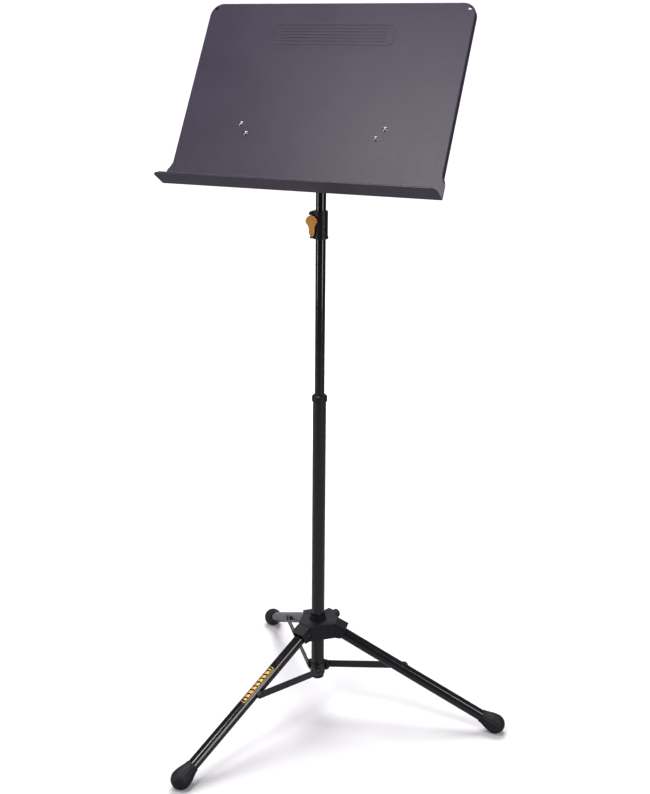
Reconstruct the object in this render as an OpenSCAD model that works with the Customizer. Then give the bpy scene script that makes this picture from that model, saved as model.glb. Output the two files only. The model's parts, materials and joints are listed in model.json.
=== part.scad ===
// Orchestra music stand: sheet steel desk, squeeze-grip telescopic mast, folding three-leg base.
// Millimetres, +Z up. Origin on the floor under the mast. The desk faces -Y.

/* [Desk] */
// Width of the desk across its ledge
desk_w = 505; // [420:5:620]
// Height of the desk plate along its face
desk_h = 352; // [300:1:430]
// Depth of the ledge
ledge_depth = 45; // [38:1:60]
// Thickness of the desk sheet
sheet_t = 1.5; // [1.2:0.1:2]
// Depth of the stiffening flange folded back round the plate
flange_d = 12; // [8:1:18]
// How much narrower the plate is than the ledge, on each side
side_step = 7; // [3:1:15]
// Radius of the plate's top corners
corner_r = 24; // [15:1:40]
// Lean of the plate back from upright, in degrees
desk_tilt = 31.2; // [15:0.2:60]
// Radius of the two hang holes
hang_hole_r = 3.7; // [2:0.1:6]

/* [Desk bracket] */
// Height of the tilt pivot above the floor
pivot_z = 1158; // [1110:1:1250]
// Place of the tilt pivot up the plate
pivot_up = 150; // [135:1:170]
// Distance of the tilt pivot behind the plate
pivot_back = 34; // [30:1:45]
// Thickness of the bracket sheet
bracket_t = 2.5; // [2:0.1:4]
// Half distance between the two upper rivets
rivet_x = 131.6; // [110:0.1:150]
// Place of the upper rivets up the plate
rivet_up = 117.7; // [105:0.1:130]
// Step towards the middle from each upper rivet to the lower one
rivet_step_in = 12.9; // [8:0.1:20]
// Step down from each upper rivet to the lower one
rivet_step_down = 17.6; // [12:0.1:24]
// Shank radius of the plate rivets
plate_rivet_r = 2.4; // [2:0.1:3]
// Radius of the tilt bolt
tilt_bolt_r = 3; // [2.5:0.1:4]

/* [Mast] */
// Outer diameter of the inner tube
inner_d = 18.2; // [16:0.1:20]
// Outer diameter of the lower tube
lower_d = 25; // [24:0.1:30]
// Wall of both mast tubes
tube_wall = 1.2; // [1:0.1:2]
// Height of the lower tube's bottom end
lower_z0 = 77; // [60:1:90]
// Height of the lower tube's top end
lower_z1 = 651; // [600:1:700]
// Height of the inner tube's bottom end
inner_z0 = 430; // [410:1:480]
// Height of the guide collar above the lower tube
collar_h = 12; // [8:1:20]
// Running clearance of shafts in their holes
run_gap = 0.05; // [0.03:0.01:0.09]
// Clearance between faces that pass each other
face_gap = 0.3; // [0.2:0.05:0.6]

/* [Squeeze grip] */
// Height of the grip's lower face
grip_z0 = 952; // [900:1:980]
// Length of the grip
grip_h = 49; // [45:1:60]
// Radius of the grip housing
grip_r = 12.6; // [12:0.1:15]
// Radius of the trigger's round head
trigger_head_r = 11; // [8:0.5:12]
// Radius of the release rod
rod_r = 2.5; // [2:0.1:3]

/* [Base] */
// Turn of the base against the desk, in degrees
base_turn = -20.35; // [-60:0.05:60]
// Angle of the legs below level, in degrees
leg_angle = 27.3; // [20:0.1:40]
// Distance of a leg's pivot from the mast axis
leg_pivot_r = 38; // [36:0.5:50]
// Height of the leg pivots
leg_pivot_z = 182.7; // [160:0.5:220]
// Outer diameter of a leg tube
leg_d = 22; // [20:0.2:24]
// Length of leg tube behind its pivot
leg_tail = 8; // [8:0.5:12]
// Radius of the round end of a foot
foot_r = 19; // [16:0.5:22]
// Length of a foot
foot_l = 50; // [40:1:60]
// Place of the strut's rivet along the leg from its pivot
strut_on_leg = 151.2; // [120:0.2:180]
// Distance of a strut's lower pivot from the mast axis
strut_in_r = 12; // [11:0.5:14]
// Height of the strut's lower pivots
strut_in_z = 93.9; // [88:0.1:100]
// Width of a strut
strut_w = 14; // [12:0.5:18]
// Thickness of a strut
strut_t = 2.5; // [2:0.1:3]
// Radius of the rivets and pins of the base
pin_r = 3; // [2.5:0.1:3.5]

/* [Hub] */
// Height of the hub's flat top
hub_top = 203; // [200:1:230]
// Thickness of the hub's walls
hub_wall = 2.4; // [2:0.1:4]
// Radius of the stepped collar on the hub
hub_collar_r = 16; // [15:0.5:20]
// Height of that collar
hub_collar_h = 10; // [6:1:16]

/* [Hidden] */
$fn = 64;
eps = 0.01;
through = 200;

// Desk
rest_dy = -pivot_back * cos(desk_tilt) - pivot_up * sin(desk_tilt);
rest_dz = pivot_back * sin(desk_tilt) - pivot_up * cos(desk_tilt);
plate_half = desk_w / 2 - side_step;
flare_z0 = 24;
flare_z1 = 40;
flange_z0 = 30;
ledge_r = 12;
hem_w = 5;
hang_x = plate_half - 10.5;
hang_z = desk_h - 10.4;
panel_w = 226;
panel_h = 40;
panel_z = 291;
panel_line = 2;
emboss_h = 0.5;
rivet_head_r = 4.6;
rivet_head_h = 2.2;

// Bracket and tilt friction joint
rivet_step = [rivet_step_in, rivet_step_down];
arm_pad_half = 14;
arm_pad_reach = 10;
arm_pad_r = 6;
arm_root_in = 6;
arm_root_up = 20;
arm_root_low = 26;
arm_root_high = 14;
bolt_past_nut = 7;
socket_deep = 2;
socket_r = 2.9;
nut_h = 4.5;
nut_collar_h = 6;
washer_r = 9.5;
barrel_w = inner_d + 0.4;
washer_t = 1.5;
ear_x = barrel_w / 2 + run_gap + washer_t;
ear_r = 12;
spine_w = 2 * (ear_x + bracket_t);
spine_z0 = pivot_up - 22;
spine_z1 = pivot_up + 42;
bolt_head_r = 5.5;
bolt_head_h = 4;
bracket_y = sheet_t + bracket_t;

// Mast
inner_r = inner_d / 2;
inner_bore = inner_r - tube_wall;
lower_r = lower_d / 2;
lower_bore = lower_r - tube_wall;
inner_z1 = pivot_z - 16;
barrel_r = 11;
head_plug = 28;
glide_r = lower_bore - run_gap;
collar_r = lower_r + 1.8;
collar_top_r = lower_r - 0.6;
collar_cone = 3;
bush_l = 25;
plug_flange = 10;
collet_h = 30;
collet_z0 = inner_z0 - plug_flange - collet_h;
cone_gap = 0.25;
cone_r0 = 8;
cone_r1 = 6;
cone_h = 20;
cone_low = 2;
slit_w = 1.5;
plug_l = 30;
spring_z0 = inner_z0 + plug_l + 0.1;
rod_top = grip_z0 + 13;
spring_h = 30;
spring_turns = 6;
spring_wire = 0.8;
spring_coil_r = 5;

// Grip: the trigger swings on its own pin beside the tube
grip_z1 = grip_z0 + grip_h;
trigger_pivot = [-12.5, grip_z0 + 7.5];
trigger_head = [-13.4, grip_z0 + 30.3];
trigger_tail_r = 3.9;
waist_at = 0.62;
waist_r = 16;
waist_in = 1.4;
cheek_y0 = inner_r + 0.8;
cheek_y1 = cheek_y0 + 2.2;
hood_half = cheek_y1 - 1;
tongue_y = cheek_y0 - face_gap;
finger_w = 5;
finger_h = 6;
finger_in = 1.5;
slot_side = 0.8;
slot_below = 6;
slot_above = 10;
front_wall = 2.4;
top_wall = 1.2;
screw_x = inner_r + 1.7;
screw_r = 0.9;
screw_l = 9;
screw_z = [grip_z0 + 16, grip_z0 + grip_h - 5];
hood_x = -18.5;
hood_h = 9;
hood_round = 5;
far_x = -30;
finger_x = -16.5;
cavity_x = -inner_r - 7.2;
web_x = -11.6;
web_in = 4;
web_z = grip_z0 + 38;
foot_ring_h = 4;
foot_ring_out = 0.9;
tongue_x = -17;
tongue_z = grip_z0 + 10.5;
tongue_lift = 0.5;
pin_s = 1.5;
squeeze_room = 4;
head_gap = 0.6;
window_top = trigger_head[1] + trigger_head_r + head_gap;

// Base
leg_r = leg_d / 2;
leg_wall = 1.2;
leg_sin = sin(leg_angle);
leg_cos = cos(leg_angle);
foot_flat = 0.6;
foot_s = (leg_pivot_z - foot_r + foot_flat) / leg_sin;
leg_end = foot_s - 10;
foot_wall = 1.6;
boss_y = leg_r + 2.2;
boss_r = 6;
strut_y = boss_y + face_gap;
strut_out = [leg_pivot_r + strut_on_leg * leg_cos, leg_pivot_z - strut_on_leg * leg_sin];
strut_run = [strut_out[0] - strut_in_r, strut_out[1] - strut_in_z];
strut_l = sqrt(strut_run[0] * strut_run[0] + strut_run[1] * strut_run[1]);
strut_lift = atan2(strut_run[1], strut_run[0]);
rivet_out_y = strut_y + strut_t;
strut_head_r = 5.5;
strut_head_h = 2;
pin_head_r = 4;
pin_head_h = 1.4;
plug_cap = 3;
plug_in = 14;
leg_plug_in = 14;
leg_cap = 1.2;
lug_r = 11;
lug_y0 = 8.5;
bracket_z0 = lower_z0 + 5;
bracket_z1 = strut_in_z + 12;
bracket_r = lower_r + 2;

// Hub
arm_half = leg_r + 0.5 + hub_wall;
slot_half = leg_r + 0.4;
arm_top_r = 34;
arm_end = [59, hub_top - 12];
arm_foot = [49, hub_top - 33];
web_r = leg_pivot_r;
boss_in_r = lower_r + run_gap;
hub_boss_r = 17;
hub_floor = hub_top - 32;
arm_root = hub_boss_r + 3;
plan_top = hub_top - 0.6;
lock_z = hub_top - 11;
lock_box = [27, 26, 22];
lock_out = 46;
lock_pin_r = 2.5;
lock_core = 16;
lock_bore_r = 5;
collar_step = 1.4;
collar_step_h = 4;
label_s0 = leg_pivot_r + 57;
label_w = 14;
label_l = 89;

// ---------- helpers ----------
module desk_frame() translate([0, rest_dy, pivot_z + rest_dz]) rotate([-desk_tilt, 0, 0]) children();
module mirrored() { children(); mirror([1, 0, 0]) children(); }
module leg_place(k) rotate([0, 0, base_turn - 90 + 120 * k]) children();
// Local X runs down the leg from its pivot, local Y is the side that carries the strut
module along_leg(k) leg_place(k) translate([leg_pivot_r, 0, leg_pivot_z])
    rotate([0, leg_angle, 0]) children();
module ring(r_out, r_in, h) difference() {
    cylinder(r = r_out, h = h);
    translate([0, 0, -1]) cylinder(r = r_in, h = h + 2);
}
module rod_x(r, h) rotate([0, 90, 0]) cylinder(r = r, h = h);
module rod_y(r, h) rotate([-90, 0, 0]) cylinder(r = r, h = h);
// A shallow dome on a flat face at z = 0
module dome(r, h) rotate_extrude() intersection() {
    translate([0, h - (r * r + h * h) / (2 * h)]) circle(r = (r * r + h * h) / (2 * h), $fn = 96);
    square([r, h]);
}
module rounded_box_2d(w, h, r) {
    square([w - 2 * r, h], center = true);
    square([w, h - 2 * r], center = true);
    for (x = [-1, 1], z = [-1, 1]) translate([x * (w / 2 - r), z * (h / 2 - r)]) circle(r = r);
}
// Two discs joined by their outer tangents, r1 at p1 and r2 at p2
module teardrop_2d(p1, r1, p2, r2) {
    d = p2 - p1;
    l = norm(d);
    lean = atan2(d[1], d[0]);
    spread = acos((r1 - r2) / l);
    translate(p1) circle(r = r1);
    translate(p2) circle(r = r2);
    polygon([p1 + r1 * [cos(lean + spread), sin(lean + spread)],
        p2 + r2 * [cos(lean + spread), sin(lean + spread)],
        p2 + r2 * [cos(lean - spread), sin(lean - spread)],
        p1 + r1 * [cos(lean - spread), sin(lean - spread)]]);
}
// Stands a 2D shape drawn in X and Z upright, from y0 to y1
module upright(y0, y1) translate([0, y1, 0]) rotate([90, 0, 0]) linear_extrude(y1 - y0) children();

// ---------- desk ----------
module plate_2d(inset) {
    r = corner_r - inset;
    half = plate_half - inset;
    top = desk_h - inset;
    polygon([[-desk_w / 2 + inset, 0], [desk_w / 2 - inset, 0], [desk_w / 2 - inset, flare_z0],
        [half, flare_z1], [-half, flare_z1], [-desk_w / 2 + inset, flare_z0]]);
    translate([-half, flare_z1]) square([2 * half, top - r - flare_z1]);
    translate([-half + r, flare_z1]) square([2 * (half - r), top - flare_z1]);
    for (x = [-1, 1]) translate([x * (half - r), top - r]) circle(r = r, $fn = 96);
}
module ledge_2d() {
    w = desk_w;
    translate([-w / 2, -ledge_depth + ledge_r]) square([w, ledge_depth - ledge_r + sheet_t]);
    translate([-w / 2 + ledge_r, -ledge_depth]) square([w - 2 * ledge_r, ledge_depth]);
    for (x = [-1, 1]) translate([x * (w / 2 - ledge_r), -ledge_depth + ledge_r]) circle(r = ledge_r);
}
module staff_panel() {
    upright(-emboss_h, 0) translate([0, panel_z]) difference() {
        rounded_box_2d(panel_w, panel_h, 8);
        rounded_box_2d(panel_w - 2 * panel_line, panel_h - 2 * panel_line, 8 - panel_line);
    }
    for (i = [-2 : 2]) translate([-panel_w / 2 + 14, -emboss_h, panel_z + i * 6 - 0.7])
        cube([panel_w - 28, emboss_h + eps, 1.4]);
}
module bookplate() color([0.33, 0.32, 0.36]) desk_frame() difference() {
    union() {
        upright(0, sheet_t) plate_2d(0);
        difference() {
            upright(0, flange_d) plate_2d(0);
            upright(sheet_t, flange_d + 1) plate_2d(sheet_t);
            translate([-desk_w, sheet_t, -1]) cube([2 * desk_w, flange_d, flange_z0 + 1]);
        }
        translate([0, 0, -sheet_t]) linear_extrude(sheet_t) ledge_2d();
        translate([-desk_w / 2 + ledge_r, -ledge_depth, -eps]) cube([desk_w - 2 * ledge_r, hem_w, sheet_t]);
        staff_panel();
    }
    mirrored() {
        translate([hang_x, -1, hang_z]) rod_y(hang_hole_r, sheet_t + 2);
        at_plate_rivets() translate([0, -1, 0]) rod_y(plate_rivet_r, sheet_t + 2);
    }
}
module at_plate_rivets() {
    translate([rivet_x, 0, rivet_up]) children();
    translate([rivet_x - rivet_step[0], 0, rivet_up - rivet_step[1]]) children();
}
module plate_rivets() color([0.12, 0.12, 0.13]) desk_frame() mirrored() at_plate_rivets() {
    rod_y(plate_rivet_r, bracket_y);
    rotate([90, 0, 0]) dome(rivet_head_r, rivet_head_h);
    translate([0, bracket_y, 0]) rotate([-90, 0, 0]) dome(rivet_head_r, rivet_head_h);
}
module bracket_arm_2d() {
    pad = [rivet_x - rivet_step[0] / 2, rivet_up - rivet_step[1] / 2];
    across = [rivet_step[0], rivet_step[1]] / norm(rivet_step);
    root_x = spine_w / 2 - arm_root_in;
    root_z = pivot_up + arm_root_up;
    polygon([pad + across * arm_pad_half + [5, -4], pad - across * arm_pad_half + [5, -4],
        [root_x, root_z - arm_root_low], [0, root_z - arm_root_low],
        [0, root_z + arm_root_high], [root_x, root_z + arm_root_high]]);
    for (s = [-1, 1]) translate(pad + across * arm_pad_reach * s + [3, -2]) circle(r = arm_pad_r);
}
module rear_bracket() color([0.11, 0.11, 0.12]) desk_frame() difference() {
    union() {
        upright(sheet_t, bracket_y) {
            mirrored() bracket_arm_2d();
            translate([-spine_w / 2, spine_z0]) square([spine_w, spine_z1 - spine_z0]);
        }
        mirrored() translate([ear_x, 0, 0]) rotate([90, 0, 90]) linear_extrude(bracket_t) {
            polygon([[sheet_t, spine_z0], [pivot_back, pivot_up - ear_r], [pivot_back, pivot_up + ear_r],
                [sheet_t, spine_z1]]);
            translate([pivot_back, pivot_up]) circle(r = ear_r);
        }
    }
    mirrored() at_plate_rivets() rod_y(plate_rivet_r, through);
    translate([-through / 2, pivot_back, pivot_up]) rod_x(tilt_bolt_r, through);
}
module tilt_bolt() color([0.2, 0.2, 0.21]) translate([0, 0, pivot_z]) {
    translate([-ear_x - bracket_t, 0, 0]) rod_x(tilt_bolt_r, 2 * (ear_x + bracket_t) + bolt_past_nut);
    translate([-ear_x - bracket_t, 0, 0]) rotate([0, -90, 0]) difference() {
        cylinder(r = bolt_head_r, h = bolt_head_h);
        translate([0, 0, bolt_head_h - socket_deep]) cylinder(r = socket_r, h = socket_deep + 1, $fn = 6);
    }
}
module tilt_nut() color([0.2, 0.2, 0.21]) translate([ear_x + bracket_t, 0, pivot_z]) difference() {
    union() {
        rotate([0, 90, 0]) cylinder(r = bolt_head_r + 0.4, h = nut_h, $fn = 6);
        rod_x(bolt_head_r - 0.8, nut_collar_h);
    }
    translate([-1, 0, 0]) rod_x(tilt_bolt_r, 9);
}
module friction_washers() color([0.75, 0.73, 0.68]) translate([0, 0, pivot_z]) mirrored()
    translate([barrel_w / 2 + run_gap, 0, 0]) rotate([0, 90, 0]) ring(washer_r, tilt_bolt_r, washer_t);

// ---------- mast ----------
module mast_head() color([0.08, 0.08, 0.09]) difference() {
    union() {
        translate([0, 0, inner_z1 - head_plug]) cylinder(r = inner_bore, h = head_plug + eps);
        translate([0, 0, inner_z1]) cylinder(r = inner_r, h = pivot_z - inner_z1);
        translate([-barrel_w / 2, 0, pivot_z]) rod_x(barrel_r, barrel_w);
    }
    translate([-barrel_w, 0, pivot_z]) rod_x(tilt_bolt_r + run_gap, 2 * barrel_w);
}
module inner_tube() color([0.05, 0.05, 0.055]) difference() {
    translate([0, 0, inner_z0]) ring(inner_r, inner_bore, inner_z1 - inner_z0);
    translate([-inner_r - 1, -finger_w / 2 - slot_side, rod_top - slot_below])
        cube([inner_r, finger_w + 2 * slot_side, slot_below + slot_above]);
}
module trigger_room_2d(grow) {
    teardrop_2d(trigger_head, trigger_head_r + grow, trigger_pivot, trigger_tail_r + grow);
}
// The trigger's side view: a round head, a waist for the fingertips and a narrow tail
module trigger_2d() {
    along = (trigger_pivot - trigger_head) / norm(trigger_pivot - trigger_head);
    waist = trigger_head + (trigger_pivot - trigger_head) * waist_at;
    waist_half = trigger_head_r + (trigger_tail_r - trigger_head_r) * waist_at;
    difference() {
        trigger_room_2d(0);
        for (side = [-1, 1])
            translate(waist + side * (waist_half + waist_r - waist_in) * [-along[1], along[0]])
                circle(r = waist_r);
    }
}
module grip_outer() {
    translate([0, 0, grip_z0]) cylinder(r = grip_r + foot_ring_out, h = foot_ring_h);
    translate([0, 0, grip_z0 + foot_ring_h - 1]) cylinder(r = grip_r, h = grip_h - foot_ring_h + 1);
    upright(-hood_half, hood_half) {
        translate([hood_x + hood_round, grip_z1 - hood_round]) circle(r = hood_round);
        translate([hood_x, grip_z1 - hood_h]) square([-hood_x, hood_h - hood_round]);
        translate([hood_x + hood_round, grip_z1 - hood_h]) square([-hood_x - hood_round, hood_h]);
    }
    translate([web_x, -tongue_y, tongue_z - 1]) cube([web_in - web_x, 2 * tongue_y, web_z - tongue_z + 1]);
    translate([tongue_x, -tongue_y, grip_z0 + tongue_lift])
        cube([-tongue_x, 2 * tongue_y, tongue_z - grip_z0 - tongue_lift]);
}
// The trigger's window, which leaves the tongue for its pin and a web between its cheeks
module grip_window() difference() {
    upright(-20, 20) intersection() {
        translate([squeeze_room / 2, 0]) trigger_room_2d(head_gap + squeeze_room / 2);
        translate([far_x, window_top - through]) square([through, through]);
    }
    translate([far_x, -tongue_y, grip_z0 - 5]) cube([-far_x, 2 * tongue_y, tongue_z - grip_z0 + 5]);
    translate([web_x, -tongue_y, grip_z0]) cube([web_in - web_x, 2 * tongue_y, web_z - grip_z0]);
}
module grip_shell() difference() {
    grip_outer();
    translate([0, 0, grip_z0 - 1]) cylinder(r = inner_r, h = grip_h + 2);
    grip_window();
    translate([far_x, -finger_w / 2 - slot_side, tongue_z])
        cube([-far_x, finger_w + 2 * slot_side, rod_top + slot_above - tongue_z]);
    translate([trigger_pivot[0], -through / 2, trigger_pivot[1]]) rod_y(pin_s, through);
    for (z = screw_z) translate([screw_x, -through / 2, z]) rod_y(screw_r, through);
}
module half_space(side) translate([-through / 2, side < 0 ? -through : 0, grip_z0 - through / 2])
    cube([through, through, 2 * through]);
module grip_front() color([0.13, 0.13, 0.14]) intersection() { grip_shell(); half_space(-1); }
module grip_back() color([0.13, 0.13, 0.14]) intersection() { grip_shell(); half_space(1); }
module grip_screws() color([0.3, 0.3, 0.31]) for (z = screw_z)
    translate([screw_x, -screw_l / 2, z]) rod_y(screw_r, screw_l);
module trigger() color([0.93, 0.62, 0.2]) difference() {
    union() {
        difference() {
            upright(-cheek_y1, cheek_y1) trigger_2d();
            upright(-cheek_y0, cheek_y0) {
                translate([front_wall, -top_wall]) trigger_2d();
                translate([far_x, grip_z0 - 2]) square([through, tongue_z - grip_z0 + 3]);
                translate([cavity_x, grip_z0]) square([through, through]);
            }
        }
        translate([finger_x, -finger_w / 2, rod_top + 0.1]) cube([finger_in - finger_x, finger_w, finger_h]);
    }
    translate([trigger_pivot[0], -through / 2, trigger_pivot[1]]) rod_y(pin_s + run_gap, through);
}
module trigger_pin() color([0.5, 0.5, 0.52])
    translate([trigger_pivot[0], -cheek_y1, trigger_pivot[1]]) rod_y(pin_s, 2 * cheek_y1);

// Height lock: the rod pulls a cone up into a split collet; the trigger pushes it down
module release_rod() color([0.6, 0.6, 0.62])
    translate([0, 0, collet_z0 + 14]) cylinder(r = rod_r, h = rod_top - collet_z0 - 14);
module lock_cone() color([0.62, 0.6, 0.5]) translate([0, 0, collet_z0 - cone_low]) difference() {
    cylinder(r1 = cone_r0 - cone_gap, r2 = cone_r1 - cone_gap, h = cone_h);
    translate([0, 0, cone_h - 4]) cylinder(r = rod_r, h = 5);
}
module lock_collet() color([0.85, 0.85, 0.82]) translate([0, 0, collet_z0]) difference() {
    cylinder(r = glide_r, h = collet_h);
    translate([0, 0, -cone_low]) cylinder(r1 = cone_r0, r2 = cone_r1, h = cone_h);
    translate([0, 0, cone_h - cone_low - 1]) cylinder(r = cone_r1, h = 3);
    cylinder(r = rod_r + 0.5, h = collet_h + 1);
    for (a = [0, 90]) rotate([0, 0, a]) translate([-lower_r, -slit_w / 2, -1])
        cube([lower_d, slit_w, cone_h + 1]);
}
module lock_plug() color([0.1, 0.1, 0.11]) difference() {
    union() {
        translate([0, 0, inner_z0 - plug_flange + face_gap])
            cylinder(r = glide_r, h = plug_flange - face_gap);
        translate([0, 0, inner_z0 - eps]) cylinder(r = inner_bore, h = plug_l);
    }
    translate([0, 0, inner_z0 - 20]) cylinder(r = rod_r + run_gap, h = 20 + 2 * plug_l);
}
module coil(r, wire, turns, h) {
    sides = 8;
    steps = 16;
    n = turns * steps;
    ring_at = function(i) [for (j = [0 : sides - 1]) let (a = 360 * i / steps, b = 360 * j / sides)
        [(r + wire * cos(b)) * cos(a), (r + wire * cos(b)) * sin(a),
            wire + (h - 2 * wire) * i / n + wire * sin(b)]];
    points = [for (i = [0 : n]) each ring_at(i)];
    walls = [for (i = [0 : n - 1], j = [0 : sides - 1])
        [i * sides + j, i * sides + (j + 1) % sides, (i + 1) * sides + (j + 1) % sides, (i + 1) * sides + j]];
    ends = [[for (j = [sides - 1 : -1 : 0]) j], [for (j = [0 : sides - 1]) n * sides + j]];
    polyhedron(points, [for (face = concat(walls, ends)) [for (j = [len(face) - 1 : -1 : 0]) face[j]]]);
}
module lock_spring() color([0.7, 0.7, 0.72]) translate([0, 0, spring_z0])
    coil(spring_coil_r, spring_wire, spring_turns, spring_h);
module spring_washer() color([0.7, 0.7, 0.72]) translate([0, 0, spring_z0 + spring_h + 0.1])
    ring(spring_coil_r + 1.6, rod_r, 2);

module lower_tube() color([0.05, 0.05, 0.055])
    translate([0, 0, lower_z0]) ring(lower_r, lower_bore, lower_z1 - lower_z0);
module guide_collar() color([0.09, 0.09, 0.1]) difference() {
    union() {
        translate([0, 0, lower_z1]) cylinder(r = collar_r, h = collar_h - collar_cone);
        translate([0, 0, lower_z1 + collar_h - collar_cone])
            cylinder(r1 = collar_r, r2 = collar_top_r, h = collar_cone);
        translate([0, 0, lower_z1 - bush_l]) cylinder(r = lower_bore, h = bush_l + eps);
    }
    translate([0, 0, lower_z1 - bush_l - 1]) cylinder(r = inner_r + run_gap, h = through);
}

// ---------- base ----------
module bottom_bracket() color([0.09, 0.09, 0.1]) difference() {
    union() {
        translate([0, 0, bracket_z0]) cylinder(r = bracket_r, h = bracket_z1 - bracket_z0);
        for (k = [0 : 2]) leg_place(k) translate([strut_in_r, lug_y0, strut_in_z])
            rod_y(lug_r, boss_y - lug_y0);
    }
    cylinder(r = lower_r, h = through);
    for (k = [0 : 2]) leg_place(k) translate([strut_in_r, 0, strut_in_z]) {
        rod_y(pin_r - run_gap, through);
        translate([0, boss_y, 0]) rod_y(lug_r + 6, 6);
    }
}
module bracket_rivets() color([0.2, 0.2, 0.21]) for (k = [0 : 2]) leg_place(k)
    translate([strut_in_r, 0, strut_in_z]) {
        translate([0, lug_y0 + 1, 0]) rod_y(pin_r - run_gap, rivet_out_y - lug_y0 - 1 + face_gap);
        translate([0, rivet_out_y + face_gap / 2, 0]) rotate([-90, 0, 0]) dome(strut_head_r, strut_head_h);
    }
module bottom_plug() color([0.09, 0.09, 0.1]) {
    translate([0, 0, lower_z0 - plug_cap]) cylinder(r = lower_r, h = plug_cap);
    translate([0, 0, lower_z0 - eps]) cylinder(r = lower_bore, h = plug_in);
}
module hub_plan_2d(inset) {
    a = arm_half + 1;
    polygon([for (k = [0 : 2]) each [for (s = [-1, 1]) let (t = base_turn - 90 + 120 * k)
        (web_r - inset) * [cos(t), sin(t)] + s * (a - inset * 0.577) * [-sin(t), cos(t)]]]);
}
module arm_profile_2d() {
    polygon([[arm_root, hub_floor], [arm_foot[0], arm_foot[1]], [arm_end[0], arm_end[1]],
        [arm_top_r, hub_top], [arm_root, hub_top]]);
}
module at_lock() leg_place(0) translate([0, 0, lock_z]) children();
module hub_body() color([0.12, 0.12, 0.13]) difference() {
    union() {
        difference() {
            union() {
                translate([0, 0, hub_floor]) linear_extrude(plan_top - hub_floor) hub_plan_2d(0);
                for (k = [0 : 2]) leg_place(k) upright(-arm_half, arm_half) arm_profile_2d();
                at_lock() translate([-lock_out, -lock_box[1] / 2, -lock_box[2] / 2])
                    cube([lock_box[0], lock_box[1], lock_box[2] - 1]);
            }
            translate([0, 0, hub_floor - 1]) linear_extrude(plan_top - hub_floor + 1 - hub_wall)
                hub_plan_2d(hub_wall);
            for (k = [0 : 2]) leg_place(k) upright(-slot_half, slot_half) polygon([
                [arm_root, 0], [through, 0],
                [through, hub_top - hub_wall - 30], [arm_end[0] + 5, arm_end[1] - 2 * hub_wall],
                [arm_top_r, hub_top - hub_wall], [arm_root, hub_top - hub_wall]]);
        }
        translate([0, 0, hub_floor - 2]) cylinder(r = hub_boss_r, h = hub_top - hub_floor + 2);
        at_lock() translate([-lock_out + 1, -lock_core / 2, -lock_core / 2 - 1])
            cube([30, lock_core, lock_core]);
    }
    cylinder(r = boss_in_r, h = 2 * through);
    for (k = [0 : 2]) along_leg(k) translate([0, -through / 2, 0]) rod_y(pin_r, through / 2 + 30);
    at_lock() translate([-through, 0, 0]) rod_x(lock_pin_r + run_gap, through);
    at_lock() translate([-lock_out + 3, 0, 0]) rod_x(lock_bore_r, 15);
}
module hub_collar() color([0.09, 0.09, 0.1]) translate([0, 0, hub_top]) difference() {
    union() {
        cylinder(r = hub_collar_r, h = hub_collar_h - collar_step_h);
        cylinder(r = hub_collar_r - collar_step, h = hub_collar_h);
    }
    translate([0, 0, -1]) cylinder(r = boss_in_r, h = hub_collar_h + 2);
    translate([0, 0, hub_collar_h - 2]) cylinder(r1 = boss_in_r, r2 = boss_in_r + 1.2, h = 2.1);
}
module leg_pins() color([0.25, 0.25, 0.26]) for (k = [0 : 2]) along_leg(k) {
    translate([0, -arm_half - 0.2, 0]) rod_y(pin_r, 2 * arm_half + 0.4);
    for (s = [-1, 1]) translate([0, s * arm_half, 0]) rotate([-90 * s, 0, 0]) dome(pin_head_r, pin_head_h);
}
module hub_lock_pin() color([0.6, 0.6, 0.62]) at_lock() {
    translate([-lock_out - 4, 0, 0]) rod_x(lock_pin_r, lock_out + 4 - lower_r - 0.3);
    translate([-lock_out + 16, 0, 0]) rod_x(4.6, 1.6);
}
module hub_lock_knob() color([0.1, 0.1, 0.11]) at_lock() translate([-lock_out - face_gap, 0, 0])
    rotate([0, -90, 0]) difference() {
    rotate_extrude() polygon([[0, 0], [6, 0], [6, 2.5], [8.5, 4], [8.5, 9], [7.5, 10], [0, 10]]);
    translate([0, 0, -1]) cylinder(r = lock_pin_r, h = 4.9);
}
module hub_lock_spring() color([0.7, 0.7, 0.72]) at_lock() translate([-lock_out + 7.3, 0, 0])
    rotate([0, 90, 0]) coil(3.8, 0.5, 4, 8.6);

module leg_tube(k) color([0.05, 0.05, 0.055]) along_leg(k) difference() {
    translate([-leg_tail, 0, 0]) rotate([0, 90, 0]) ring(leg_r, leg_r - leg_wall, leg_end + leg_tail);
    translate([0, -through / 2, 0]) rod_y(pin_r + run_gap, through);
    translate([strut_on_leg, 0, 0]) rod_y(pin_r, through);
}
module leg_plug(k) color([0.1, 0.1, 0.11]) along_leg(k) difference() {
    union() {
        translate([-leg_tail, 0, 0]) rod_x(leg_r - leg_wall, leg_tail + leg_plug_in);
        translate([-leg_tail - leg_cap, 0, 0]) rod_x(leg_r - 0.5, leg_cap + eps);
    }
    translate([0, -through / 2, 0]) rod_y(pin_r + run_gap, through);
}
module foot(k) color([0.1, 0.1, 0.105]) difference() {
    along_leg(k) rotate([0, 90, 0]) translate([0, 0, foot_s]) difference() {
        rotate_extrude($fn = 96) {
            intersection() {
                circle(r = foot_r, $fn = 96);
                translate([0, -4]) square([foot_r, foot_r + 4]);
            }
            polygon([[0, -foot_l + foot_r], [leg_r + foot_wall, -foot_l + foot_r],
                [leg_r + foot_wall + 0.4, -foot_l + foot_r + 5], [foot_r - 0.9, -10],
                [sqrt(foot_r * foot_r - 16), -4], [0, -4]]);
        }
        translate([0, 0, -foot_l]) cylinder(r = leg_r, h = foot_l - (foot_s - leg_end));
    }
    translate([-500, -500, -50]) cube([1000, 1000, 50]);
}
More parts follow.
